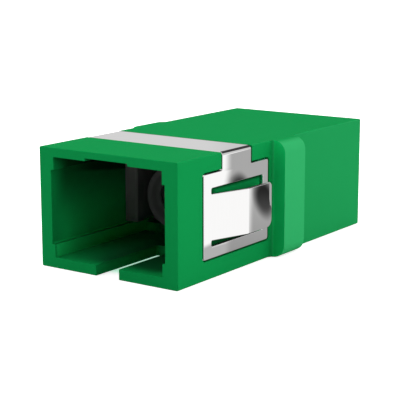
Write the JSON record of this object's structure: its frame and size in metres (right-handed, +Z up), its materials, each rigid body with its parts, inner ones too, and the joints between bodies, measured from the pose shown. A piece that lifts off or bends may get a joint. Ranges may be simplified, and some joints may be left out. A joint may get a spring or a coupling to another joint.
{
  "type": "fibre optic coupler",
  "caption": "Square fibre optic coupler, open at both ends, with a side rib, a steel panel clip, grey latching inserts and a split ceramic sleeve that joins two ferrules.",
  "frame": {"origin": "middle of the housing's flat underside, below the middle of the optical axis", "axes": "+Y along the optical axis towards the rear mouth, +X towards the side of the clip that the picture shows, +Z up through the strap of the clip"},
  "size_m": [0.0152, 0.0266, 0.0092],
  "materials": {
    "green_housing": "smooth moulded green plastic with a soft gloss",
    "grey_insert": "fine matt dark grey moulded plastic",
    "white_ceramic": "ground white zirconia",
    "spring_steel": "bright rolled stainless spring steel"
  },
  "bodies": {
    "root": {"housing": "green_housing", "insert_front": "grey_insert", "insert_rear": "grey_insert", "alignment_sleeve": "white_ceramic", "panel_clip": "spring_steel"}
  },
  "joints": []
}
